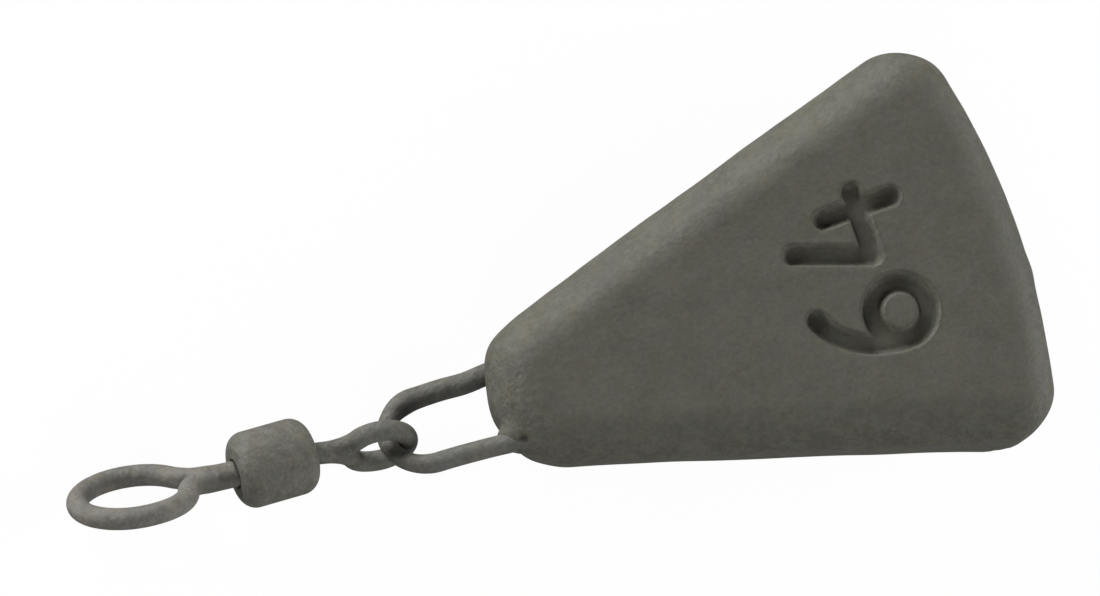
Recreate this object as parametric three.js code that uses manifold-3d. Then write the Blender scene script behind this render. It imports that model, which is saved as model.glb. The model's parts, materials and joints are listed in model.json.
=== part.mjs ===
// A pear-shaped carp lead with its swivel, lying on its flat back.
// A wedge-shaped lead casting with a coat round it holds a hairpin of wire at its nose. A barrel swivel hangs
// on that hairpin: a small eye through the hairpin, a hollow barrel, and a large ring for the line.
// Millimetres and degrees. +X runs from the nose to the wide base, +Z is up, and the back lies on Z = 0.

import * as THREE from 'three';
import { mergeVertices } from 'three/addons/utils/BufferGeometryUtils.js';
import Module from 'manifold-3d';

// Lead casting and its coat
const BODY_LENGTH = 33.85;
const FLARE_HALF_ANGLE = 16.8;
const NOSE_RADIUS = 5.2;
const CORNER_RADIUS = 3.55;
const EDGE_RADIUS = 3.3;
const EDGE_LAND = 0.2;
const NOSE_THICKNESS = 7.0;
const BASE_THICKNESS = 15.5;
const COAT_THICKNESS = 0.4;
const CAST_GAP = 0.1;

// Hairpin of wire in the nose
const LOOP_WIRE = 1.12;
const LOOP_SPACING = 5.2;
const LOOP_REACH = 7.2;
const LOOP_ROLL = 35;
const ANCHOR_DEPTH = 9;
const FOOT_LENGTH = 2.1;
const FOOT_BEND = 1.2;

// Wire of both swivel eyes, and the heads that hold them in the barrel
const EYE_WIRE = 1.28;
const EYE_LAND = 0.05;
const HEAD_LIP = 0.5;
const HEAD_THICKNESS = 0.9;
const HEAD_PLAY = 0.35;
const HEAD_SPACING = 1.1;

// Small eye, linked through the hairpin
const SMALL_EYE_HOLE = 2.5;
const SMALL_EYE_NECK = 1.2;
const SMALL_EYE_STEM = 1.4;
const SMALL_EYE_ROLL = 27;
const SMALL_EYE_YAW = 11.8;
const LINK_GAP = 0.06;

// Large ring for the line
const RING_HOLE = 5.4;
const RING_NECK = 1.6;
const RING_STEM = 1.75;
const RING_ROLL = 64;
const RING_YAW = 6;

// Hollow barrel
const BORE_CLEARANCE = 0.1;
const HEAD_CLEARANCE = 0.35;
const BARREL_WALL = 0.74;
const END_WALL = 0.7;
const BARREL_ROUND = 1.0;
const BARREL_YAW = 2.7;

// The ring's height over the surface that the back lies on
const REST_GAP = 0.03;

// Facets
const NOSE_STEPS = 18;
const CORNER_STEPS = 8;
const BASE_STEPS = 6;
const EDGE_STEPS = 5;
const WIRE_SIDES = 10;
const LOOP_STEPS = 64;
const SMALL_EYE_STEPS = 30;
const RING_STEPS = 40;
const NECK_STEPS = 5;
const EYE_STEPS = 4;
const ROUND_STEPS = 4;
const BARREL_SIDES = 24;

const wasm = await Module();
wasm.setup();

// A closed geometry as a solid that can be joined and cut.
function solidOf(geometry) {
  const bare = geometry.index ? geometry.toNonIndexed() : geometry.clone();
  bare.deleteAttribute('normal');
  bare.deleteAttribute('uv');
  const welded = mergeVertices(bare);
  return new wasm.Manifold(new wasm.Mesh({
    numProp: 3,
    vertProperties: new Float32Array(welded.attributes.position.array),
    triVerts: new Uint32Array(welded.index.array),
  }));
}

// A solid's surface as a geometry.
function geometryOf(solid) {
  const { vertProperties, triVerts } = solid.getMesh();
  const geometry = new THREE.BufferGeometry();
  geometry.setAttribute('position', new THREE.BufferAttribute(vertProperties, 3));
  geometry.setIndex(new THREE.BufferAttribute(triVerts, 1));
  geometry.computeVertexNormals();
  return geometry;
}

// Points along an arc, both ends included.
function arcPoints(x, y, radius, from, to, steps, clockwise = false) {
  return new THREE.EllipseCurve(x, y, radius, radius, from, to, clockwise).getPoints(steps);
}

// A planar path carried into space as a wire's centre line.
class WireCurve extends THREE.Curve {
  constructor(path) {
    super();
    this.path = path;
  }

  getPoint(t) {
    const { x, y } = this.path.getPoint(t);
    return new THREE.Vector3(x, y, 0);
  }
}

// Round wire of the given radius along a planar path.
function wireAlong(path, radius, steps) {
  const section = arcPoints(0, 0, radius, 0, 2 * Math.PI, WIRE_SIDES).slice(1);
  return new THREE.ExtrudeGeometry(new THREE.Shape(section), { steps, extrudePath: new WireCurve(path) });
}

// Plan of the casting. The two flanks meet at an apex beyond the nose, and the base arc is struck from it.
const flare = THREE.MathUtils.degToRad(FLARE_HALF_ANGLE);
const noseX = -BODY_LENGTH / 2;
const noseCentreX = noseX + NOSE_RADIUS;
const apexX = noseCentreX - NOSE_RADIUS / Math.sin(flare);
const baseRadius = BODY_LENGTH / 2 - apexX;
const cornerReach = baseRadius - CORNER_RADIUS;
const cornerAngle = flare - Math.asin(CORNER_RADIUS / cornerReach);

// The round edges leave a land on the thin nose and in the corners.
const edgeRadius = Math.min(EDGE_RADIUS, NOSE_THICKNESS / 2 - EDGE_LAND, CORNER_RADIUS - EDGE_LAND);
const middleThickness = (NOSE_THICKNESS + BASE_THICKNESS) / 2;
const wedgeSlope = (BASE_THICKNESS - NOSE_THICKNESS) / 2 / BODY_LENGTH;
const wedgeAngle = Math.atan(wedgeSlope);

// The plan's outline drawn in by `inset`: nose, corner, base and corner arcs, joined by the straight flanks.
function bodyOutline(inset) {
  const cornerX = apexX + cornerReach * Math.cos(cornerAngle);
  const cornerY = cornerReach * Math.sin(cornerAngle);
  const flankNormal = Math.PI / 2 + flare;
  const arc = (x, y, radius, from, to, steps) => arcPoints(x, y, radius - inset, from, to, steps);
  return new THREE.Shape([
    ...arc(noseCentreX, 0, NOSE_RADIUS, flankNormal, 2 * Math.PI - flankNormal, NOSE_STEPS),
    ...arc(cornerX, -cornerY, CORNER_RADIUS, -flankNormal, -cornerAngle, CORNER_STEPS),
    ...arc(apexX, 0, baseRadius, -cornerAngle, cornerAngle, BASE_STEPS).slice(1),
    ...arc(cornerX, cornerY, CORNER_RADIUS, cornerAngle, flankNormal, CORNER_STEPS).slice(1),
  ]);
}

// The casting's form drawn in by `inset` on every side, about its middle plane. It starts as a plate of even
// thickness with round edges, and its two halves are then sheared apart so that it thickens to the base.
function bodyForm(inset) {
  const edge = edgeRadius - inset;
  const depth = middleThickness - 2 * edgeRadius;
  const geometry = new THREE.ExtrudeGeometry(bodyOutline(inset), {
    depth,
    bevelThickness: edge,
    bevelSize: edge,
    bevelOffset: -edge,
    bevelSegments: EDGE_STEPS,
  });
  geometry.translate(0, 0, -depth / 2);
  const { position } = geometry.attributes;
  for (let i = 0; i < position.count; i += 1) {
    const z = position.getZ(i);
    position.setZ(i, z + Math.sign(z) * wedgeSlope * position.getX(i));
  }
  return solidOf(geometry);
}

// The hairpin's centre line: a foot, a leg, the round bend, a leg and a foot. `spare` lengthens the feet.
const loopTipX = noseX - LOOP_REACH + LOOP_WIRE / 2;
const loopRoll = THREE.MathUtils.degToRad(LOOP_ROLL);

function loopPath(spare) {
  const half = LOOP_SPACING / 2;
  const footX = noseX + ANCHOR_DEPTH;
  const footBendX = footX - FOOT_BEND;
  const footEndY = half - FOOT_LENGTH - spare;
  const path = new THREE.Path();
  path.moveTo(footX, footEndY);
  path.lineTo(footX, half - FOOT_BEND);
  path.absarc(footBendX, half - FOOT_BEND, FOOT_BEND, 0, Math.PI / 2, false);
  path.absarc(loopTipX + half, 0, half, Math.PI / 2, 3 * Math.PI / 2, false);
  path.absarc(footBendX, FOOT_BEND - half, FOOT_BEND, -Math.PI / 2, 0, false);
  path.lineTo(footX, -footEndY);
  return path;
}

// Sizes of the swivel, from its wire outwards
const wireRadius = EYE_WIRE / 2;
const boreRadius = wireRadius + BORE_CLEARANCE;
const headRadius = boreRadius + HEAD_LIP;
const cavityRadius = headRadius + HEAD_CLEARANCE;
const barrelRadius = cavityRadius + BARREL_WALL;
const barrelLength = 2 * (END_WALL + HEAD_PLAY + HEAD_THICKNESS) + HEAD_SPACING;

// An eye's main sizes: its ring's centre-line radius, where its neck meets the stem, and where the stem goes
// through the middle of the barrel's end wall.
function eyeSizes(hole, neck, stem) {
  const ring = (hole + EYE_WIRE) / 2;
  const neckX = Math.sqrt((ring + neck) ** 2 - neck ** 2);
  return { ring, neck, neckX, boreX: neckX + stem + END_WALL / 2 };
}

const smallEye = eyeSizes(SMALL_EYE_HOLE, SMALL_EYE_NECK, SMALL_EYE_STEM);
const lineRing = eyeSizes(RING_HOLE, RING_NECK, RING_STEM);

// An eye of one wire closed on itself, round its own centre with its stem along +X. Its outline follows the
// wire's two edges: from the stem through a neck on each side into the ring. The edges are then rounded until
// only a narrow land is left, and a head is set on the stem's end.
function eyeForm({ ring, neck, neckX, boreX }, steps) {
  const headX = boreX + END_WALL / 2 + HEAD_PLAY;
  const neckAngle = Math.atan2(neck, neckX);
  const crotchAngle = Math.asin(neck / (neck + wireRadius));
  const edgeOf = (offset, turn) => [
    ...arcPoints(neckX, neck, neck - offset, -turn, neckAngle - Math.PI, NECK_STEPS, true),
    ...arcPoints(0, 0, ring + offset, neckAngle, -neckAngle, steps).slice(1),
    ...arcPoints(neckX, -neck, neck - offset, Math.PI - neckAngle, turn, NECK_STEPS, true).slice(1),
  ];
  const stemEndX = headX + wireRadius;
  const outline = new THREE.Shape([
    ...edgeOf(wireRadius, Math.PI / 2),
    new THREE.Vector2(stemEndX, -wireRadius),
    new THREE.Vector2(stemEndX, wireRadius),
  ]);
  outline.holes.push(new THREE.Path(edgeOf(-wireRadius, Math.PI - crotchAngle).slice(1)));
  const round = wireRadius - EYE_LAND;
  const wire = new THREE.ExtrudeGeometry(outline, {
    depth: 2 * EYE_LAND,
    bevelThickness: round,
    bevelSize: round,
    bevelOffset: -round,
    bevelSegments: EYE_STEPS,
  });
  wire.translate(0, 0, -EYE_LAND);
  const head = new THREE.CylinderGeometry(headRadius, headRadius, HEAD_THICKNESS, BARREL_SIDES);
  head.rotateZ(Math.PI / 2).translate(headX + HEAD_THICKNESS / 2, 0, 0);
  return geometryOf(solidOf(wire).add(solidOf(head)));
}

// The barrel round the X axis, from the middle of its small-eye end wall: a round-ended tube with a bore in
// each end and room between them for the two heads.
function barrelForm() {
  const bend = (y, from) =>
    arcPoints(barrelRadius - BARREL_ROUND, y, BARREL_ROUND, from, from + Math.PI / 2, ROUND_STEPS);
  const profile = [
    new THREE.Vector2(boreRadius, 0),
    ...bend(BARREL_ROUND, -Math.PI / 2),
    ...bend(barrelLength - BARREL_ROUND, 0),
    new THREE.Vector2(boreRadius, barrelLength),
    new THREE.Vector2(boreRadius, barrelLength - END_WALL),
    new THREE.Vector2(cavityRadius, barrelLength - END_WALL),
    new THREE.Vector2(cavityRadius, END_WALL),
    new THREE.Vector2(boreRadius, END_WALL),
    new THREE.Vector2(boreRadius, 0),
  ];
  return new THREE.LatheGeometry(profile, BARREL_SIDES).rotateZ(-Math.PI / 2).translate(-END_WALL / 2, 0, 0);
}

// Finishes: one matt olive-grey coat over everything, and bare lead under it
const coat = new THREE.MeshStandardMaterial({ color: 0x56554d, roughness: 0.8, metalness: 0 });
const coatedWire = new THREE.MeshStandardMaterial({ color: 0x5b5a50, roughness: 0.75, metalness: 0 });
const castLead = new THREE.MeshStandardMaterial({ color: 0x74767a, roughness: 0.6, metalness: 0.9 });

function piece(name, geometry, material) {
  const mesh = new THREE.Mesh(geometry, material);
  mesh.name = name;
  return mesh;
}

// Lead, coat and hairpin, about the casting's middle plane, tipped so that the back face lies flat
const wireChannel = solidOf(wireAlong(loopPath(CAST_GAP), LOOP_WIRE / 2 + CAST_GAP, LOOP_STEPS).rotateX(-loopRoll));
const coreForm = bodyForm(COAT_THICKNESS + CAST_GAP).subtract(wireChannel);
const skinForm = bodyForm(0).subtract(bodyForm(COAT_THICKNESS)).subtract(wireChannel);
const loopForm = wireAlong(loopPath(0), LOOP_WIRE / 2, LOOP_STEPS).rotateX(-loopRoll);

const lead = new THREE.Group();
lead.add(
  piece('lead_core', geometryOf(coreForm), castLead),
  piece('coating_skin', geometryOf(skinForm), coat),
  piece('wire_loop', loopForm, coatedWire),
);
lead.rotation.y = -wedgeAngle;
lead.position.z = middleThickness / 2 * Math.cos(wedgeAngle);

// Places along the swivel: each piece's own +X points away from the lead, from the point where it is held
const linkPoint = new THREE.Vector3(loopTipX, 0, 0).applyEuler(lead.rotation).add(lead.position);
const smallEyeX = smallEye.ring - (LOOP_WIRE + EYE_WIRE) / 2 - LINK_GAP;
const smallEyeReach = smallEyeX + smallEye.boreX;
const barrelReach = barrelLength - END_WALL;

// The upward pitch at which the tilted ring just clears the surface under the lead. With s the sine of the
// pitch, the ring's centre rises by the swivel's length times s, to its own drop plus half its wire.
function restPitch() {
  const sinRoll = Math.sin(THREE.MathUtils.degToRad(RING_ROLL));
  const length = smallEyeReach + barrelReach + lineRing.boreX;
  const room = linkPoint.z - wireRadius - REST_GAP;
  const a = length ** 2 - lineRing.ring ** 2 * (1 - sinRoll ** 2);
  const b = room * length;
  const c = room ** 2 - (lineRing.ring * sinRoll) ** 2;
  return Math.asin((Math.sqrt(b ** 2 - a * c) - b) / a);
}

const swivelPitch = restPitch();

// A swivel piece held at a point, yawed off the lead's axis and pitched with the rest of the swivel.
function swivelGroup(mesh, heldAt, yaw) {
  const group = new THREE.Group();
  group.add(mesh);
  group.position.copy(heldAt);
  group.rotation.set(0, -swivelPitch, Math.PI - THREE.MathUtils.degToRad(yaw), 'ZYX');
  return group;
}

function pointAlong(group, reach) {
  return new THREE.Vector3(reach, 0, 0).applyEuler(group.rotation).add(group.position);
}

// The small eye stands nearly square to the hairpin's plane, and the ring leans on the surface under it.
const smallEyePiece = piece('small_eye', eyeForm(smallEye, SMALL_EYE_STEPS), coatedWire);
smallEyePiece.position.x = smallEyeX;
smallEyePiece.rotation.x = Math.PI / 2 + THREE.MathUtils.degToRad(SMALL_EYE_ROLL);
const smallEyeGroup = swivelGroup(smallEyePiece, linkPoint, SMALL_EYE_YAW);

const barrelPiece = piece('swivel_barrel', barrelForm(), coatedWire);
const barrelGroup = swivelGroup(barrelPiece, pointAlong(smallEyeGroup, smallEyeReach), BARREL_YAW);

const lineRingPiece = piece('line_ring', eyeForm(lineRing, RING_STEPS), coatedWire);
lineRingPiece.position.x = lineRing.boreX;
lineRingPiece.rotation.set(Math.PI + THREE.MathUtils.degToRad(RING_ROLL), 0, Math.PI);
const lineRingGroup = swivelGroup(lineRingPiece, pointAlong(barrelGroup, barrelReach), RING_YAW);

const sinker = new THREE.Group();
sinker.add(lead, smallEyeGroup, barrelGroup, lineRingGroup);

export default sinker;
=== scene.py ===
import json

import bpy
import numpy as np
from mathutils import Matrix


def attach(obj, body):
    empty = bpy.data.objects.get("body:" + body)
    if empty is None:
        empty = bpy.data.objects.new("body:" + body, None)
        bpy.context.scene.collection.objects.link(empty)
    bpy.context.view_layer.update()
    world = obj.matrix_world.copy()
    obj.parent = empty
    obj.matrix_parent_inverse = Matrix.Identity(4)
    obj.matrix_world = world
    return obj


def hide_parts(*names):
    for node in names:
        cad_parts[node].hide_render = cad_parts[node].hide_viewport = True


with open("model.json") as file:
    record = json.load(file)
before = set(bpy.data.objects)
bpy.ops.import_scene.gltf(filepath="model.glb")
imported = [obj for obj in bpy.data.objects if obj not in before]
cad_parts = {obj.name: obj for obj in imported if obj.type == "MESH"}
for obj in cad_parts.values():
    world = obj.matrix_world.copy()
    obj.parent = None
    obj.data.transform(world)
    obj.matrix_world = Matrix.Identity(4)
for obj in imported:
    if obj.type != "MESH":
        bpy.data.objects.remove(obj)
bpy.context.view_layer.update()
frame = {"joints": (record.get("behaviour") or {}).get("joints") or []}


# Lead casting
# The weight itself: soft grey lead poured into a two-part mould, round the feet of the wire loop, with its
# mass in grams sunk into the front face. The coat covers it all over.
MM = 0.001
BODY_LENGTH = 33.85
FLARE = np.radians(16.8)
NOSE_RADIUS = 5.2
UPPER_CORNER_RADIUS = 3.55
LOWER_CORNER_RADIUS = 3.15
EDGE_RADIUS = 3.1
FLANK_EDGE_REACH = 3.05
FLANK_EDGE_DROP = 3.85
FLANK_EDGE_FADE = (0.5, 0.95)
NOSE_THICKNESS = 7.0
BASE_THICKNESS = 15.5
LEAD_INSET = 0.5
PLAN_STEPS = 200
LEAD_DARK = (0.14, 0.145, 0.155)
LEAD_PALE = (0.25, 0.255, 0.265)
LEAD_FLOW_SCALE = 400.0
LEAD_SKIN_HEIGHT = 0.05 * MM

NOSE_X = -BODY_LENGTH / 2
NOSE_CENTRE_X = NOSE_X + NOSE_RADIUS
APEX_X = NOSE_CENTRE_X - NOSE_RADIUS / np.sin(FLARE)
BASE_RADIUS = BODY_LENGTH / 2 - APEX_X
FLANK_ANGLE = np.pi / 2 + FLARE
HALF_THICKNESS = (NOSE_THICKNESS + BASE_THICKNESS) / 4
WEDGE_SLOPE = (BASE_THICKNESS - NOSE_THICKNESS) / 2 / BODY_LENGTH
WEDGE_ANGLE = np.arctan(WEDGE_SLOPE)


def in_place(points):
    """Carries points from the lead's middle plane to where it lies: tipped by the wedge angle about Y until
    the back is level, and lifted until the back is at height 0. Millimetres become metres."""
    cos, sin = np.cos(WEDGE_ANGLE), np.sin(WEDGE_ANGLE)
    x, y, z = np.moveaxis(points, -1, 0)
    lift = HALF_THICKNESS * cos
    return np.stack([cos * x - sin * z, y, sin * x + cos * z + lift], -1) * MM


def smooth(low, high, value):
    """A soft step: 0 below `low`, 1 above `high`, and three times the square less twice the cube between."""
    t = np.clip((value - low) / (high - low), 0, 1)
    return t * t * (3 - 2 * t)


def plan_edge(rows, inset):
    """Points of the plan's edge drawn in by `inset`: centre plus the radius left, in the row's direction."""
    reach = (rows[:, 2] - inset)[:, None]
    return rows[:, :2] + reach * np.stack([np.cos(rows[:, 3]), np.sin(rows[:, 3])], -1)


def plan_side(legs, count, crowd=None):
    """One side of the lead's plan as circles that roll along its edge: rows of centre x, centre y, radius
    and direction to the edge. Each leg goes evenly from one such row to the next. The whole is then spread
    by its length along the edge and along the edge drawn in by the round, and closer where `crowd` says."""
    share = np.linspace(0, 1, PLAN_STEPS)[:, None]
    rows = np.concatenate([np.array(a) + (np.array(b) - np.array(a)) * share for a, b in legs])
    outer, inner = plan_edge(rows, 0), plan_edge(rows, EDGE_RADIUS)
    steps = np.hypot(*np.diff(outer, axis=0).T) + np.hypot(*np.diff(inner, axis=0).T)
    if crowd:
        steps *= crowd(inner[1:])
    run = np.concatenate([[0], np.cumsum(steps)])
    return np.stack([np.interp(np.linspace(0, run[-1], count), run, column) for column in rows.T], -1)


def half_plan(corner_radius, along, across):
    """The upper half of the plan as two sides that meet in the middle of the corner: the flank from the
    nose, and the base from its middle. The corner's circle touches the flank and the base from inside."""
    reach = BASE_RADIUS - corner_radius
    angle = FLARE - np.arcsin(corner_radius / reach)
    corner = (APEX_X + reach * np.cos(angle), reach * np.sin(angle), corner_radius)
    middle = (FLANK_ANGLE + angle) / 2
    flank = [
        ((NOSE_CENTRE_X, 0, NOSE_RADIUS, FLANK_ANGLE), (*corner, FLANK_ANGLE)),
        ((*corner, FLANK_ANGLE), (*corner, middle)),
    ]
    base = [
        ((APEX_X, 0, BASE_RADIUS, 0), (APEX_X, 0, BASE_RADIUS, angle)),
        ((*corner, angle), (*corner, middle)),
    ]
    return plan_side(flank, along, near_number), plan_side(base, across // 2 + 1)


def casting_plan(along, across):
    """The plan's four sides: the flanks, each from the nose to the middle of its corner, the nose and the
    base. The lower half is an upper half with its own corner, turned over."""
    upper, upper_base = half_plan(UPPER_CORNER_RADIUS, along, across)
    mirror = np.array([1, -1, 1, -1])
    lower, lower_base = [side * mirror for side in half_plan(LOWER_CORNER_RADIUS, along, across)]
    base = np.concatenate([lower_base[:0:-1], upper_base])
    nose_row = (NOSE_CENTRE_X, 0, NOSE_RADIUS)
    nose = plan_side([((*nose_row, 2 * np.pi - FLANK_ANGLE), (*nose_row, FLANK_ANGLE))], len(base))
    return lower, upper, nose, base


def edge_reach(rows):
    """How far the round of the edge reaches in from the plan, and how far down from the face. They are alike
    all round, but on the upper flank it goes further down than in, with a soft change in the bends."""
    upper = smooth(*FLANK_EDGE_FADE, np.sin(rows[:, 3]))
    reach = EDGE_RADIUS + (FLANK_EDGE_REACH - EDGE_RADIUS) * upper
    drop = EDGE_RADIUS + (FLANK_EDGE_DROP - EDGE_RADIUS) * upper
    return reach, drop


def patch(lower, upper, nose, base):
    """A net of points inside four edges: the two sheets ruled between opposite edges are added, and the one
    ruled through the four corners is taken away."""
    u = np.linspace(0, 1, len(lower))[:, None, None]
    v = np.linspace(0, 1, len(nose))[None, :, None]
    ruled = (1 - v) * lower[:, None] + v * upper[:, None] + (1 - u) * nose[None] + u * base[None]
    corners = (1 - u) * ((1 - v) * nose[0] + v * nose[-1]) + u * ((1 - v) * base[0] + v * base[-1])
    return ruled - corners


def edge_band(ring, inset, round_rows, side_rows):
    """The band from the front's rim to the back's, as rows of points and of the ways they face: a quarter
    ellipse out from the front, the straight side, and a quarter ellipse back in. The front half is sheared
    up and the back half down in step with x, for the wedge."""
    reach, drop = edge_reach(ring)
    out = np.stack([np.cos(ring[:, 3]), np.sin(ring[:, 3])], -1)
    turn = np.linspace(0, np.pi / 2, round_rows + 1)[1:]

    def round_row(angle, side):
        edge = plan_edge(ring, reach - (reach - inset) * np.sin(angle))
        height = HALF_THICKNESS - inset - (drop - inset) * (1 - np.cos(angle)) + WEDGE_SLOPE * edge[:, 0]
        facing = np.concatenate([out * np.sin(angle), np.full((len(ring), 1), side * np.cos(angle))], 1)
        return np.concatenate([edge, side * height[:, None]], 1), facing

    rows = [round_row(angle, 1) for angle in turn]
    top, level = rows[-1]
    low = top * np.array([1, 1, -1])
    rows += [(top + (low - top) * share, level) for share in np.linspace(0, 1, side_rows + 1)[1:-1]]
    rows += [round_row(angle, -1) for angle in turn[::-1]]
    return rows


# Sunk number on the front face. Strokes are points across and up from the middle of their digit.
NUMBER_X = 6.4
NUMBER_PITCH = 5.7
NUMBER_DEPTH = 0.7
NUMBER_REACH = 4.6
NUMBER_FADE = 1.5
NUMBER_CROWD = 1.4
STROKE_HALF = 0.58
STROKE_SOFT = 0.16
SIX_BOWL = (1.75, 1.7)
SIX_BOWL_DROP = 1.65
SIX_STEM = (3.7, 5.1)
SIX_STEM_X = 1.95
SIX_STEM_START = np.radians(103)
FOUR_BEND = np.array([[-0.35, 3.35], [-1.95, -1.2], [2.1, -1.2]])
FOUR_POST = np.array([[1.1, 0.9], [1.1, -3.35]])


def near_number(points):
    """How many times as close the points of the net lie: once away from the number, and once plus the
    crowd where it is, with a soft change."""
    away = smooth(NUMBER_REACH, NUMBER_REACH + NUMBER_FADE, abs(points[:, 0] - NUMBER_X))
    return 1 + NUMBER_CROWD * (1 - away)


def stroke_distance(points, bends):
    """Distance from each point to a line through `bends`: to the nearest place on each straight part, and
    the least of those."""
    a, b = bends[:-1], bends[1:]
    along = b - a
    share = np.einsum("...ik,ik->...i", points[..., None, :] - a, along) / (along ** 2).sum(-1)
    nearest = a + np.clip(share, 0, 1)[..., None] * along
    return np.linalg.norm(points[..., None, :] - nearest, axis=-1).min(-1)


def number_depth(x, y, spread):
    """How deep the number 64 is sunk at each point of the front face. Its top points to the nose. The six is
    a round bowl and a quarter of a taller ellipse, the open four is a bent stroke and a post, and the depth
    falls off across each stroke's edge. `spread` widens the strokes."""
    bowl = np.linspace(0, 2 * np.pi, 49)
    sweep = np.linspace(SIX_STEM_START, np.pi, 16)
    six_bowl = np.stack([np.cos(bowl), np.sin(bowl)], -1) * SIX_BOWL - [0, SIX_BOWL_DROP]
    six_stem = np.stack([np.cos(sweep), np.sin(sweep)], -1) * SIX_STEM + [SIX_STEM_X, -SIX_BOWL_DROP]
    up = NUMBER_X - x
    six = np.stack([y + NUMBER_PITCH / 2, up], -1)
    four = np.stack([y - NUMBER_PITCH / 2, up], -1)
    strokes = [(six, six_bowl), (six, six_stem), (four, FOUR_BEND), (four, FOUR_POST)]
    gap = np.min([stroke_distance(points, bends) for points, bends in strokes], axis=0) - spread
    return NUMBER_DEPTH * (1 - smooth(STROKE_HALF - STROKE_SOFT, STROKE_HALF + STROKE_SOFT, gap))


# Marks of the mould and the paint. A row of SIDE_BELLS is a bell's x, y, width and rise.
SLOW_WAVES = (7, 9, 11, 14, 17)
SLOW_RISE = 0.06
SLOW_SEED = 3
QUICK_WAVES = (2.1, 2.6, 3.1, 3.7)
QUICK_RISE = 0.02
QUICK_SEED = 8
FACE_CALM = 0.5
CALM_POWER = 8
SIDE_BELLS = np.array([
    [-15.6, 3.5, 1.2, 0.17],
    [-15.6, -3.5, 1.2, 0.18],
    [-16.9, 1.2, 1.1, -0.10],
    [-16.9, -1.2, 0.9, 0.08],
    [-13.6, 4.9, 1.8, -0.10],
    [-14.0, -4.8, 1.6, 0.10],
    [-9.5, 6.0, 3.5, -0.04],
    [-2.3, 8.1, 4.5, 0.05],
    [-12.0, -5.6, 1.8, 0.07],
    [-6.0, -7.4, 2.0, -0.09],
    [3.5, -10.3, 3.0, -0.04],
    [9.0, -12.0, 2.2, -0.09],
    [13.0, -12.6, 1.5, 0.04],
    [14.3, -12.0, 1.3, -0.12],
    [16.3, -7.5, 3.0, -0.13],
    [16.9, -3.1, 0.8, 0.07],
    [16.5, 5.0, 6.0, -0.04],
    [16.0, 9.3, 1.8, -0.06],
    [14.4, 11.2, 2.6, -0.05],
])
BELLY_PLACE = np.array([13.2, -12.5, 0.5])
BELLY_WIDTHS = np.array([2.0, 2.0, 3.0])
BELLY_RISE = 0.22
LEG_HALF = 2.6
LEG_SAG = 0.15
LEG_SPREAD = 0.36
LOOP_ROLL = np.radians(35)
PIT_RADIUS = 0.8
PIT_SOFT = 0.15
PIT_DEPTH = 0.6
WEB_RADIUS = 0.55
WEB_WIDTH = 0.5
WEB_RISE = 0.8
ENTRY_FADE = (NOSE_X + 2.5, NOSE_X + 5.0)
DIMPLE = np.array([-15.97, -2.68, 2.55])
DIMPLE_DEPTH = 0.35
DIMPLE_WIDTH = 0.28


def swell(points, lengths, height, seed):
    """An uneven swell over space: a mean of sine waves in fixed directions, with the given wave lengths."""
    rng = np.random.default_rng(seed)
    ways = rng.normal(size=(len(lengths), 3))
    ways /= np.linalg.norm(ways, axis=1)[:, None]
    starts = rng.uniform(0, 2 * np.pi, len(lengths))
    phase = points @ (ways.T * (2 * np.pi / np.array(lengths))) + starts
    return height * np.sin(phase).mean(-1)


def fullness(points):
    """How far the casting's sides stand beyond its plan, or fall short of it: a sum of bell curves of the
    distance from places on its edge, for square shoulders on the nose and a small nick, and one more that is
    a bell in height too, for the belly of the lower corner."""
    gap = np.linalg.norm(points[:, None, :2] - SIDE_BELLS[:, :2], axis=-1)
    bells = SIDE_BELLS[:, 3] * np.exp(-(gap / SIDE_BELLS[:, 2]) ** 2)
    belly = BELLY_RISE * np.exp(-(((points - BELLY_PLACE) / BELLY_WIDTHS) ** 2).sum(-1))
    return bells.sum(-1) + belly


def wire_entry(points):
    """How far the casting stands back along X round the two wires at the nose: all the way inside a circle
    round the upper one, with a soft edge. Round the lower one it climbs instead, less and less away from
    it, as a bell curve."""
    y, z = points[:, 1], points[:, 2]
    upper, lower = [
        np.hypot(y - offset * np.cos(LOOP_ROLL), z + offset * np.sin(LOOP_ROLL))
        for offset in (LEG_HALF - LEG_SAG, -LEG_HALF - LEG_SPREAD)]
    at_nose = 1 - smooth(*ENTRY_FADE, points[:, 0])
    pit = PIT_DEPTH * (1 - smooth(PIT_RADIUS - PIT_SOFT, PIT_RADIUS + PIT_SOFT, upper))
    web = WEB_RISE * np.exp(-(np.clip(lower - WEB_RADIUS, 0, None) / WEB_WIDTH) ** 2)
    return (pit - web) * at_nose


def dimple(points):
    """A small hollow that the paint left beside the lower wire, as a bell curve of the distance."""
    return DIMPLE_DEPTH * np.exp(-(np.linalg.norm(points - DIMPLE, axis=1) / DIMPLE_WIDTH) ** 2)


def with_marks(points, normals):
    """The surface with its marks: moved the way it faces by a slow and a quick swell, less on the level
    faces, sideways by the fullness of the sides, along X round the wires, and in by the dimple."""
    calm = 1 - FACE_CALM * abs(normals[:, 2]) ** CALM_POWER
    slow = swell(points, SLOW_WAVES, SLOW_RISE, SLOW_SEED)
    quick = swell(points, QUICK_WAVES, QUICK_RISE, QUICK_SEED)
    uneven = (slow + quick) * calm
    sideways = normals * np.array([1, 1, 0])
    points = points + normals * uneven[:, None] + sideways * fullness(points)[:, None]
    points[:, 0] += wire_entry(points)
    return points - normals * dimple(points)[:, None]


def net_faces(index):
    """Four-sided faces between neighbours in a net of point numbers."""
    return np.stack([index[:-1, :-1], index[1:, :-1], index[1:, 1:], index[:-1, 1:]], -1).reshape(-1, 4)


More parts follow.
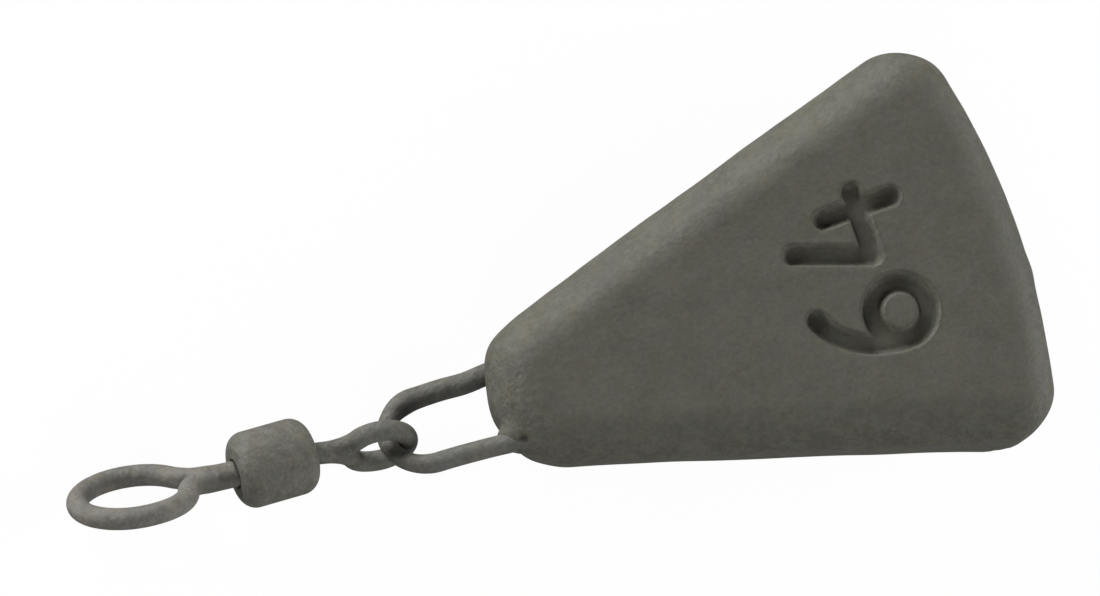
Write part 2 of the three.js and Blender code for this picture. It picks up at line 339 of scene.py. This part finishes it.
def casting_faces(net_shape, row_count):
    """Faces of the front net, of the back net turned over, and of the band of rows between their rims."""
    size = net_shape[0] * net_shape[1]
    grid = np.arange(size).reshape(net_shape)
    rim = np.concatenate([grid[:-1, 0], grid[-1, :-1], grid[:0:-1, -1], grid[0, :0:-1]])
    band = 2 * size + np.arange(row_count * len(rim)).reshape(row_count, len(rim))
    band = np.concatenate([rim[None], band, rim[None] + size])
    band = np.concatenate([band, band[:, :1]], 1)
    return np.concatenate([net_faces(grid), net_faces(grid + size)[:, ::-1], net_faces(band)]).tolist()


def casting_shape(inset, along, across, round_rows, side_rows):
    """The wedge's surface, drawn in by `inset`: a front and a back net inside the plan drawn in by the
    round, and the band between them. Each net is half the wedge's thickness from the middle plane, and the
    number is sunk into the front one."""
    lower, upper, nose, base = casting_plan(along, across)
    face = patch(*[plan_edge(side, edge_reach(side)[0]) for side in (lower, upper, nose, base)])
    ring = np.concatenate([lower[:-1], base[:-1], upper[:0:-1], nose[:0:-1]])
    rows = edge_band(ring, inset, round_rows, side_rows)

    x, y = face[..., 0], face[..., 1]
    height = HALF_THICKNESS - inset + WEDGE_SLOPE * x
    front = np.stack([x, y, height - number_depth(x, y, inset)], -1).reshape(-1, 3)
    back = np.stack([x, y, -height], -1).reshape(-1, 3)
    up = np.broadcast_to([0.0, 0.0, 1.0], front.shape)
    points = np.concatenate([front, back] + [row for row, _ in rows])
    normals = np.concatenate([up, -up] + [facing for _, facing in rows])
    return in_place(with_marks(points, normals)), casting_faces(face.shape[:2], len(rows))


class Shade:
    """A shader socket. An operator on it adds the Math node that works it out, and `node` adds any other."""

    def __init__(self, tree, socket=None):
        self.tree = tree
        self.socket = socket

    def node(self, kind, settings, inputs, output=0):
        """Adds a node: its settings first, a ramp's stops among them, then its sockets' values or links."""
        made = self.tree.nodes.new(kind)
        for name, value in settings.items():
            if name == "stops":
                for stop, (place, colour) in zip(made.color_ramp.elements, value):
                    stop.position = place
                    stop.color = (*colour, 1.0)
            else:
                setattr(made, name, value)
        for name, value in inputs.items():
            if isinstance(value, Shade):
                self.tree.links.new(value.socket, made.inputs[name])
            else:
                made.inputs[name].default_value = value
        return Shade(self.tree, made.outputs[output] if made.outputs else None)

    def math(self, operation, first, second):
        return self.node("ShaderNodeMath", {"operation": operation}, {0: first, 1: second})

    def __add__(self, other):
        return self.math("ADD", self, other)

    __radd__ = __add__

    def __mul__(self, other):
        return self.math("MULTIPLY", self, other)

    __rmul__ = __mul__

    def __sub__(self, other):
        return self.math("SUBTRACT", self, other)

    def __rsub__(self, other):
        return self.math("SUBTRACT", other, self)


def new_finish(name):
    """An empty material, the start of its node maths, and the coordinates of the object that wears it."""
    material = bpy.data.materials.new(name)
    material.use_nodes = True
    material.node_tree.nodes.clear()
    start = Shade(material.node_tree)
    return material, start, start.node("ShaderNodeTexCoord", {}, {}, "Object")


def cast_lead():
    """Dull cast lead: grey with paler and darker flow marks, mostly metallic, with a fine uneven skin."""
    material, start, place = new_finish("cast_lead")
    flow = start.node("ShaderNodeTexNoise", {}, {
        "Vector": place, "Scale": LEAD_FLOW_SCALE, "Detail": 5.0})
    grey = [(0.3, LEAD_DARK), (0.7, LEAD_PALE)]
    colour = start.node("ShaderNodeValToRGB", {"stops": grey}, {"Fac": flow})
    bump = start.node("ShaderNodeBump", {}, {
        "Height": flow, "Strength": 0.2, "Distance": LEAD_SKIN_HEIGHT})
    shader = start.node("ShaderNodeBsdfPrincipled", {}, {
        "Base Color": colour, "Metallic": 0.85, "Roughness": 0.45 + 0.25 * flow, "Normal": bump})
    start.node("ShaderNodeOutputMaterial", {}, {"Surface": shader})
    return material


def mesh_object(name, points, faces, material):
    """A smooth-shaded mesh object at the origin, with its place in its points."""
    mesh = bpy.data.meshes.new(name)
    mesh.from_pydata(points.tolist(), [], faces)
    mesh.shade_smooth()
    mesh.materials.append(material)
    piece = bpy.data.objects.new(name, mesh)
    bpy.context.scene.collection.objects.link(piece)
    return piece


casting_mesh = casting_shape(LEAD_INSET, along=101, across=71, round_rows=10, side_rows=5)
casting = mesh_object("lead_casting", *casting_mesh, cast_lead())
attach(casting, "lead")
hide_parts("lead_core")


# Coat of the lead
# A matt olive-grey camouflage paint that the whole casting is dipped in. It softens every edge and follows
# the sunk number. At the nose it stands back from the upper wire and climbs a little way up the lower one.
COAT_COLOUR = (0.0837, 0.0814, 0.0652)
COAT_SETTLED = 1.0
# Painted shade: how far round the dimple beside the lower wire the coat is darkened, for the shade in it.
DIMPLE_SHADE_REACH = 0.55 * MM
NOISE_SCALES = (420.0, 900.0, 1500.0, 3800.0)
TONE_SPREAD = 0.16
COOL_TINT = (0.985, 1.0, 1.04)
WARM_TINT = (1.02, 1.0, 0.95)
# Painted shade: the near-black colour that is blended in round a small hollow, where shade falls.
PAINTED_SHADE_COLOUR = (0.012, 0.012, 0.012, 1.0)
GRAIN_HEIGHT = 0.15 * MM


def camouflage_coat(name, colour, settled, shade_place=None, reach=0.0):
    """Matt paint: one olive grey that clouds, lumps and specks make paler and darker, with warm and cool
    patches, a dry uneven gloss and a skin of grains. Mottling and grains grow where the surface is steep:
    one, less `settled` times the fourth power of how far it faces up. Round the place given for shade, as
    far as `reach`, the colour is darkened towards near black: painted shade, for the shade in a small
    hollow."""
    material, start, place = new_finish(name)
    clouds, patches, lumps, specks = [
        start.node("ShaderNodeTexNoise", {}, {"Vector": place, "Scale": scale, "Detail": 2.0})
        for scale in NOISE_SCALES]
    facing = start.node("ShaderNodeTexCoord", {}, {}, "Normal")
    level = start.node("ShaderNodeSeparateXYZ", {}, {"Vector": facing}, "Z")
    flat = level * level
    steep = 1.0 - settled * flat * flat
    rough = 0.4 * clouds + 0.3 * specks + 0.5 * lumps - 0.6
    mottle = 0.3 * clouds + 0.2 * lumps + 0.5 * specks + 1.5 * steep * rough
    colour = np.array(colour)
    tones = [(0.3, colour * (1 - TONE_SPREAD)), (0.7, colour * (1 + TONE_SPREAD))]
    tone = start.node("ShaderNodeValToRGB", {"stops": tones}, {"Fac": mottle})
    tints = [(0.38, COOL_TINT), (0.62, WARM_TINT)]
    tint = start.node("ShaderNodeValToRGB", {"stops": tints}, {"Fac": patches})
    tinted = start.node("ShaderNodeVectorMath", {"operation": "MULTIPLY"}, {0: tone, 1: tint})
    # Painted shade: near-black colour blended in round the given place, for the shade in a small hollow.
    if shade_place:
        gap = start.node("ShaderNodeVectorMath", {"operation": "DISTANCE"}, {0: place, 1: shade_place}, "Value")
        painted_shade = start.node("ShaderNodeMapRange", {"interpolation_type": "SMOOTHSTEP"}, {
            "Value": gap + reach * lumps, "From Min": 0.7 * reach, "From Max": 1.4 * reach,
            "To Min": 0.8, "To Max": 0.0})
        tinted = start.node("ShaderNodeMix", {"data_type": "RGBA"}, {
            "Factor": painted_shade, "A": tinted, "B": PAINTED_SHADE_COLOUR}, "Result")
    height = (0.4 + 0.7 * steep) * specks + (0.3 + 2.0 * steep) * lumps
    bump = start.node("ShaderNodeBump", {}, {"Height": height, "Strength": 0.4, "Distance": GRAIN_HEIGHT})
    shader = start.node("ShaderNodeBsdfPrincipled", {}, {
        "Base Color": tinted, "Roughness": 0.55 + 0.2 * clouds, "Specular IOR Level": 0.25, "Normal": bump})
    start.node("ShaderNodeOutputMaterial", {}, {"Surface": shader})
    return material


# Painted shade: the lead's paint is darkened to near black round the dimple, for the shade in that hollow.
dimple_shade_place = tuple(in_place(DIMPLE))
lead_paint = camouflage_coat("lead_paint", COAT_COLOUR, COAT_SETTLED, dimple_shade_place, DIMPLE_SHADE_REACH)
coat_mesh = casting_shape(0, along=201, across=131, round_rows=24, side_rows=5)
coat = mesh_object("lead_coat", *coat_mesh, lead_paint)
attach(coat, "lead")
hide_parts("coating_skin")


# Wire loop
# A hairpin of stiff steel wire. Its feet are cast into the nose, and the same paint covers what sticks out.
# The legs aren't quite straight: they spread a little towards the lead, where paint has thickened them.
LOOP_WIRE = 1.12
LOOP_REACH = 7.2
LOOP_SINK = 4.0
SAG_SHARE = 0.8
SAG_WIDTH = 0.3
SPREAD_POWER = 1.3
LEG_PAINT = 0.12
LEG_PAINT_FADE = (0.4, 2.4)
UPPER_PAINT = 0.13
UPPER_FADE = (-1.0, 1.6)
COLLAR_PAINT = 0.04
COLLAR_X = 0.4
COLLAR_WIDTH = 0.7
BEND_PAINT = 0.16
BEND_PAINT_PLACE = (-1.0, 2.2)
BEND_PAINT_WIDTH = 0.9
WIRE_SIDES = 32
WIRE_COLOUR = (0.104, 0.102, 0.089)
WIRE_SETTLED = 0.3
ENTRY_DEPTH = 0.1
# Painted shade: how far round the upper wire's entry the loop's paint is darkened.
ENTRY_SHADE_REACH = 0.8 * MM

LOOP_TIP_X = NOSE_X - LOOP_REACH + LOOP_WIRE / 2
LOOP_BEND_X = LOOP_TIP_X + LEG_HALF


def arc(x, y, radius, start, end, count):
    """Points on an arc, from one angle to the other."""
    angle = np.linspace(start, end, count)
    return np.stack([x + radius * np.cos(angle), y + radius * np.sin(angle)], -1)


def tube(path, radius, flat):
    """Round wire along a path: at each point a circle of that point's radius, in the plane square to the
    path, with the direction `flat` as its start. The ends close on a point."""
    tangent = np.gradient(path, axis=0)
    tangent /= np.linalg.norm(tangent, axis=1)[:, None]
    across = np.cross(flat, tangent)
    across /= np.linalg.norm(across, axis=1)[:, None]
    upright = np.cross(tangent, across)
    angle = np.linspace(0, 2 * np.pi, WIRE_SIDES + 1)[:-1, None]
    circle = np.cos(angle) * across[:, None] + np.sin(angle) * upright[:, None]
    rings = path[:, None] + radius[:, None, None] * circle
    points = np.concatenate([rings.reshape(-1, 3), path[:1], path[-1:]])
    index = np.arange(len(path) * WIRE_SIDES).reshape(len(path), WIRE_SIDES)
    index = np.concatenate([index, index[:, :1]], 1)
    first, last = [np.full(WIRE_SIDES, len(points) - back) for back in (2, 1)]
    faces = net_faces(index).tolist()
    faces += np.stack([first, index[0, :-1], index[0, 1:]], -1).tolist()
    faces += np.stack([last, index[-1, 1:], index[-1, :-1]], -1).tolist()
    return points, faces


def loop_shape():
    """The hairpin's wire: a leg, a half circle and a leg, drawn flat, then rolled about the lead's length.
    The upper leg sags a little and is the thicker one, most of all at its bend, the lower leg spreads, and
    the paint makes a slight collar on it where it goes in."""
    leg_x = np.linspace(NOSE_X + LOOP_SINK, LOOP_BEND_X, 80)
    out = (leg_x - LOOP_BEND_X) / (NOSE_X - LOOP_BEND_X)
    sag = LEG_SAG * np.exp(-((out - SAG_SHARE) / SAG_WIDTH) ** 2)
    spread = LEG_SPREAD * np.clip(out, 0, None) ** SPREAD_POWER
    upper = np.stack([leg_x, LEG_HALF - sag], -1)
    lower = np.stack([leg_x, -LEG_HALF - spread], -1)[::-1]
    bend = arc(LOOP_BEND_X, 0, LEG_HALF, np.pi / 2, 1.5 * np.pi, 80)[1:-1]
    x, y = np.concatenate([upper, bend, lower]).T
    off_tip = smooth(*LEG_PAINT_FADE, x - LOOP_TIP_X)
    on_upper = smooth(*UPPER_FADE, y)
    collar = np.exp(-((x - NOSE_X - COLLAR_X) / COLLAR_WIDTH) ** 2)
    from_bend = np.hypot(x - LOOP_BEND_X - BEND_PAINT_PLACE[0], y - BEND_PAINT_PLACE[1])
    in_bend = np.exp(-(from_bend / BEND_PAINT_WIDTH) ** 2)
    diameter = LOOP_WIRE + off_tip * (LEG_PAINT + UPPER_PAINT * on_upper)
    diameter += COLLAR_PAINT * collar * (1 - on_upper) + BEND_PAINT * in_bend
    path = np.stack([x, y * np.cos(LOOP_ROLL), -y * np.sin(LOOP_ROLL)], -1)
    square = np.array([0, np.sin(LOOP_ROLL), np.cos(LOOP_ROLL)])
    points, faces = tube(path, diameter / 2, square)
    return in_place(points), faces


# Painted shade: the loop's paint is darkened to near black round where the upper wire goes into the nose,
# for the shade in the crack there.
upper_y = LEG_HALF - LEG_SAG
upper_entry = in_place(np.array([
    NOSE_X + ENTRY_DEPTH, upper_y * np.cos(LOOP_ROLL), -upper_y * np.sin(LOOP_ROLL)]))
loop_paint = camouflage_coat("loop_paint", WIRE_COLOUR, WIRE_SETTLED, tuple(upper_entry), ENTRY_SHADE_REACH)
loop = mesh_object("wire_loop_painted", *loop_shape(), loop_paint)
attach(loop, "lead")
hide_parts("wire_loop")


# Small eye of the swivel
# Stiff wire bent into a small closed eye that hangs in the wire loop. Its stem goes through a hole in the
# end of the barrel, where a head keeps it in, and the paint has run together in its throat.
HEAD_RADIUS = 1.24
HEAD_THICKNESS = 0.9
HEAD_PLAY = 0.35
HEAD_EDGE = 0.02
BARE_WIRE = 1.16
END_WALL = 0.7
END_OVERLAP = 0.1
MOUTH_FADE = 0.3
MOUTH_PINCH = 0.7
SHIFT_RUN = 0.5
WIRE_CHANGE = (-0.8, 0.4)
LINK_GAP = 0.1
SMALL_EYE_HOLE = 2.5
SMALL_EYE_RING = 1.82
SMALL_EYE_NECKS = (2.0, 2.0)
SMALL_EYE_STEM = 0.92
SMALL_EYE_WIRES = (1.27, 1.2)
SMALL_EYE_SHIFTS = ((0.04, 0.03), (-0.04, -0.12))
SMALL_EYE_YAW = np.radians(11.8)
SMALL_EYE_ROLL = np.radians(90 + 24.5)
SMALL_EYE_DROP = 0.07

joints = {joint["name"]: joint for joint in frame["joints"]}
BARREL_AXIS = np.array(joints["barrel_spin"]["axis"])
SWIVEL_PITCH = np.arcsin(BARREL_AXIS[2])


def swivel_axes(yaw):
    """The three directions of a swivel piece at rest: away from the lead, to its left, and up. They are the
    frame's own, pitched up and then turned round by half a turn less the yaw."""
    turn = np.pi - yaw
    flat = np.array([np.cos(turn), np.sin(turn), 0])
    level = np.array([-np.sin(turn), np.cos(turn), 0])
    away = np.cos(SWIVEL_PITCH) * flat + np.sin(SWIVEL_PITCH) * np.array([0, 0, 1])
    return away, level, np.cross(away, level)


def eye_shape(centre, stem_way, side_way, ring, necks, stem, wires, shifts):
    """An eye of wire. Flat, it is a head, a straight stem, a neck arc, most of a circle, and a neck arc
    that brings the end back beside the stem and into the barrel. `necks` are the radii of the two arcs,
    and `wires` the diameters of circle and stem. The shifts move the stem and the end apart, sideways and
    square to the plane of the eye. Inside the barrel both come together, and the wire has no paint there and
    so is thinner."""
    neck_xs = [np.sqrt((ring + neck) ** 2 - neck ** 2) for neck in necks]
    angles = [np.arctan2(neck, neck_x) for neck, neck_x in zip(necks, neck_xs)]
    mouth = neck_xs[0] + stem
    head_x = mouth + END_WALL + HEAD_PLAY
    head_xs = head_x + np.array([HEAD_THICKNESS, HEAD_THICKNESS - HEAD_EDGE, HEAD_EDGE, 0])
    stem_xs = np.concatenate([head_xs, np.linspace(head_x, neck_xs[0], 30)[1:]])
    end_xs = np.linspace(neck_xs[1], head_x + END_OVERLAP, 20)[1:]
    flat = np.concatenate([
        np.stack([stem_xs, 0 * stem_xs], -1),
        arc(neck_xs[0], necks[0], necks[0], -np.pi / 2, angles[0] - np.pi, 24)[1:],
        arc(0, 0, ring, angles[0], 2 * np.pi - angles[1], 160)[1:],
        arc(neck_xs[1], -necks[1], necks[1], np.pi - angles[1], np.pi / 2, 24)[1:],
        np.stack([end_xs, 0 * end_xs], -1),
    ])
    along = flat[:, :1]
    inside = smooth(mouth, mouth + MOUTH_FADE, along)
    stem_half = (np.arange(len(flat)) < len(flat) / 2)[:, None]
    shift = np.where(stem_half, *shifts) * smooth(0, ring + SHIFT_RUN, along) * (1 - MOUTH_PINCH * inside)
    on_stem = smooth(neck_xs[0] + WIRE_CHANGE[0], neck_xs[0] + WIRE_CHANGE[1], along)
    diameter = wires[0] + (wires[1] - wires[0]) * on_stem
    radius = (diameter + (BARE_WIRE - diameter) * inside)[:, 0] / 2
    radius[:len(head_xs)] = [HEAD_RADIUS - HEAD_EDGE, HEAD_RADIUS, HEAD_RADIUS, BARE_WIRE / 2]
    face_way = np.cross(stem_way, side_way)
    path = centre + along * stem_way + (flat[:, 1:] + shift[:, :1]) * side_way + shift[:, 1:] * face_way
    points, faces = tube(path, radius, face_way)
    return points * MM, faces


small_away, small_level, small_up = swivel_axes(SMALL_EYE_YAW)
small_reach = (SMALL_EYE_HOLE - LOOP_WIRE) / 2 - LINK_GAP
link_point = np.array(joints["eye_swing"]["pos_m"]) / MM
small_centre = link_point + small_away * small_reach + small_level * SMALL_EYE_DROP
small_side = np.cos(SMALL_EYE_ROLL) * small_level + np.sin(SMALL_EYE_ROLL) * small_up
small_eye_mesh = eye_shape(
    small_centre, small_away, small_side, SMALL_EYE_RING, SMALL_EYE_NECKS, SMALL_EYE_STEM, SMALL_EYE_WIRES,
    SMALL_EYE_SHIFTS)
small_eye_paint = camouflage_coat("small_eye_paint", WIRE_COLOUR, WIRE_SETTLED)
small_eye = mesh_object("small_eye_painted", *small_eye_mesh, small_eye_paint)
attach(small_eye, "eye")
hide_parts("small_eye")


# Barrel of the swivel
# A short brass tube, closed in over the heads of both eyes at its ends so that each eye can turn. The paint
# rounds its shoulders and leaves a dark ring round each stem.
HEAD_SPACING = 1.1
BARREL_LENGTH = 2 * (END_WALL + HEAD_PLAY + HEAD_THICKNESS) + HEAD_SPACING
BARREL_RADIUS = 2.38
LEAD_END_ROUND = 1.12
RING_END_ROUND = 1.0
BARREL_YAW = np.radians(2.7)
BARREL_DROP = 0.03
BORE_RADIUS = 0.86
BORE_LIP = 0.18
CAVITY_RADIUS = 1.59
BARREL_COLOUR = (0.103, 0.100, 0.084)


def barrel_shape(sides):
    """A profile turned about the barrel's axis: round shoulders outside, a round lip into each bore, and the
    wider room for the heads inside."""
    lip = arc(BORE_LIP, BORE_RADIUS + BORE_LIP, BORE_LIP, 1.5 * np.pi, np.pi, 8)
    bore = np.array([[END_WALL, BORE_RADIUS]])
    lead_end, ring_end = [
        np.concatenate([bore, lip, arc(bend, BARREL_RADIUS - bend, bend, np.pi, np.pi / 2, 16)])
        for bend in (LEAD_END_ROUND, RING_END_ROUND)]
    ring_end = ring_end[::-1] * np.array([-1, 1]) + np.array([BARREL_LENGTH, 0])
    waist = np.linspace(lead_end[-1], ring_end[0], 10)[1:-1]
    room = np.array([[BARREL_LENGTH - END_WALL, CAVITY_RADIUS], [END_WALL, CAVITY_RADIUS]])
    profile = np.concatenate([lead_end, waist, ring_end, room])
    angle = np.linspace(0, 2 * np.pi, sides + 1)[:-1, None]
    _, level, up = swivel_axes(BARREL_YAW)
    way = np.cos(angle) * level + np.sin(angle) * up
    held = np.array(joints["barrel_spin"]["pos_m"]) / MM
    start = held - BARREL_AXIS * END_WALL / 2 + level * BARREL_DROP
    rings = start + profile[:, :1, None] * BARREL_AXIS + profile[:, 1:, None] * way
    points = rings.reshape(-1, 3)
    index = np.arange(len(points)).reshape(len(profile), sides)
    index = np.concatenate([index, index[:, :1]], 1)
    index = np.concatenate([index, index[:1]], 0)
    return points * MM, net_faces(index)[:, ::-1].tolist()


barrel_paint = camouflage_coat("barrel_paint", BARREL_COLOUR, WIRE_SETTLED)
barrel = mesh_object("barrel_painted", *barrel_shape(sides=96), barrel_paint)
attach(barrel, "barrel")
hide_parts("swivel_barrel")


# Line ring of the swivel
# The large eye that the line or a lead clip goes through, bent from the same wire as the small one and
# headed inside the barrel. Its end is tucked in behind the stem, and the ring lies low, near the table.
RING_RADIUS = 3.38
RING_NECKS = (1.3, 3.6)
RING_STEM = 2.02
RING_WIRES = (1.34, 1.5)
RING_SHIFTS = ((0.04, 0.10), (-0.1, 0.02))
RING_YAW = np.radians(5.4)
RING_ROLL = np.radians(64)
RING_COLOUR = (0.124, 0.119, 0.105)

ring_away, ring_level, ring_up = swivel_axes(RING_YAW)
ring_neck_x = np.sqrt((RING_RADIUS + RING_NECKS[0]) ** 2 - RING_NECKS[0] ** 2)
ring_reach = ring_neck_x + RING_STEM + END_WALL / 2
ring_centre = np.array(joints["ring_spin"]["pos_m"]) / MM + ring_away * ring_reach
ring_side = np.cos(RING_ROLL) * ring_level + np.sin(RING_ROLL) * ring_up
ring_mesh = eye_shape(
    ring_centre, -ring_away, ring_side, RING_RADIUS, RING_NECKS, RING_STEM, RING_WIRES, RING_SHIFTS)
ring_paint = camouflage_coat("ring_paint", RING_COLOUR, WIRE_SETTLED)
ring = mesh_object("line_ring_painted", *ring_mesh, ring_paint)
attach(ring, "ring")
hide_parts("line_ring")


# Table, light and camera
# The lead lies on its back on a white table in a light tent: a broad lamp from the picture's upper left,
# paler walls left and right, and a weak lamp below the camera. The camera looks nearly square at the face.
VIEW_TILT_X = np.radians(14.1)
VIEW_TILT_Y = np.radians(2.0)
VIEW_ROLL = np.radians(-19.9)
VIEW_DISTANCE = 0.4
VIEW_POINT = np.array([-0.0125, 0, 0.005])
VIEW_PIXELS_PER_MM = 16.322
VIEW_POINT_PIXEL = np.array([559.4, 383.4])
PHOTO_WIDTH, PHOTO_HEIGHT = 1100, 596
SENSOR = 36.0
CLIP_START = 0.01
TABLE_HALF = 4.0
PAPER_GRAIN_SCALE = 60.0
TABLE_GLOW = 0.97
TABLE_GLOW_MIRRORED = 0.25
TABLE_SEEN = (1.0, 1.0, 1.0, 1.0)
TABLE_LIGHTING = (0.2, 0.2, 0.2, 1.0)
TENT_COLOUR = (1.0, 1.0, 1.0, 1.0)
TENT_STRENGTH = 0.02
LAMP_DISTANCE = 0.8
LAMP_SIZE = 0.6
LAMP_LEAN = 0.01

toward = np.array([-np.sin(VIEW_TILT_X), -np.sin(VIEW_TILT_Y), 0])
toward[2] = np.sqrt(1 - (toward ** 2).sum())
view_up = np.array([-np.sin(VIEW_ROLL), np.cos(VIEW_ROLL), 0])
view_right = np.cross(view_up, toward)
view_right /= np.linalg.norm(view_right)
view_up = np.cross(toward, view_right)


def aimed(position, back, up):
    """A placing at `position` whose own Z points along `back`, and its own Y as near `up` as can be."""
    back = back / np.linalg.norm(back)
    right = np.cross(up, back)
    right /= np.linalg.norm(right)
    placing = np.eye(4)
    placing[:3] = np.stack([right, np.cross(back, right), back, position], -1)
    return Matrix(placing.tolist())


focal_pixels = VIEW_PIXELS_PER_MM * VIEW_DISTANCE / MM
off_right, off_down = np.array([PHOTO_WIDTH, PHOTO_HEIGHT]) / 2 - VIEW_POINT_PIXEL
camera_data = bpy.data.cameras.new("camera")
camera_data.sensor_width = SENSOR
camera_data.lens = SENSOR * focal_pixels / PHOTO_WIDTH
camera_data.clip_start = CLIP_START
camera = bpy.data.objects.new("camera", camera_data)
bpy.context.scene.collection.objects.link(camera)
sight = toward * focal_pixels - view_right * off_right + view_up * off_down
camera.matrix_world = aimed(VIEW_POINT + toward * VIEW_DISTANCE, sight, view_up)
bpy.context.scene.camera = camera


def table_top():
    """A matt table. The camera sees it as white paper with a trace of the shadow on it, and reflections see
    a part of that glow. To the light that falls on it, it is a dim grey."""
    material, start, place = new_finish("table_white")
    seen, mirrored, through = [start.node("ShaderNodeLightPath", {}, {}, ray) for ray in (
        "Is Camera Ray", "Is Glossy Ray", "Is Transmission Ray")]
    reflected = mirrored.math("MAXIMUM", mirrored, through)
    direct = seen.math("MAXIMUM", seen, TABLE_GLOW_MIRRORED * reflected)
    grain = start.node("ShaderNodeTexNoise", {}, {
        "Vector": place, "Scale": PAPER_GRAIN_SCALE, "Detail": 2.0})
    white = start.node("ShaderNodeMix", {"data_type": "RGBA"}, {
        "Factor": seen, "A": TABLE_LIGHTING, "B": TABLE_SEEN}, "Result")
    paper = start.node("ShaderNodeBsdfDiffuse", {}, {"Color": white, "Roughness": grain})
    glow = start.node("ShaderNodeEmission", {}, {"Color": TABLE_SEEN, "Strength": 1.0})
    shader = start.node("ShaderNodeMixShader", {}, {0: TABLE_GLOW * direct, 1: paper, 2: glow})
    start.node("ShaderNodeOutputMaterial", {}, {"Surface": shader})
    return material


table_corners = np.array([[-1, -1, 0], [1, -1, 0], [1, 1, 0], [-1, 1, 0]]) * TABLE_HALF
table = mesh_object("table", table_corners, [[0, 1, 2, 3]], table_top())

world = bpy.data.worlds.new("tent")
world.use_nodes = True
tent = world.node_tree.nodes["Background"]
tent.inputs["Color"].default_value = TENT_COLOUR
tent.inputs["Strength"].default_value = TENT_STRENGTH
bpy.context.scene.world = world


def soft_lamp(name, way, power):
    """A square lamp that looks at the lead from a direction given as right, up and toward the camera."""
    data = bpy.data.lights.new(name, "AREA")
    data.size = LAMP_SIZE
    data.energy = power
    lamp = bpy.data.objects.new(name, data)
    lamp.visible_camera = False
    bpy.context.scene.collection.objects.link(lamp)
    back = way[0] * view_right + way[1] * view_up + way[2] * toward
    place = back / np.linalg.norm(back) * LAMP_DISTANCE
    lamp.matrix_world = aimed(place, back, view_up + LAMP_LEAN * view_right)


soft_lamp("key_lamp", (-0.5, 0.83, 0.115), 16.5)
soft_lamp("left_lamp", (-1.0, 0.08, 0.14), 9.0)
soft_lamp("right_lamp", (1.0, 0.1, 0.15), 8.0)
soft_lamp("low_lamp", (0.1, -0.75, 0.6), 3.5)

bpy.context.scene.view_settings.view_transform = "Standard"
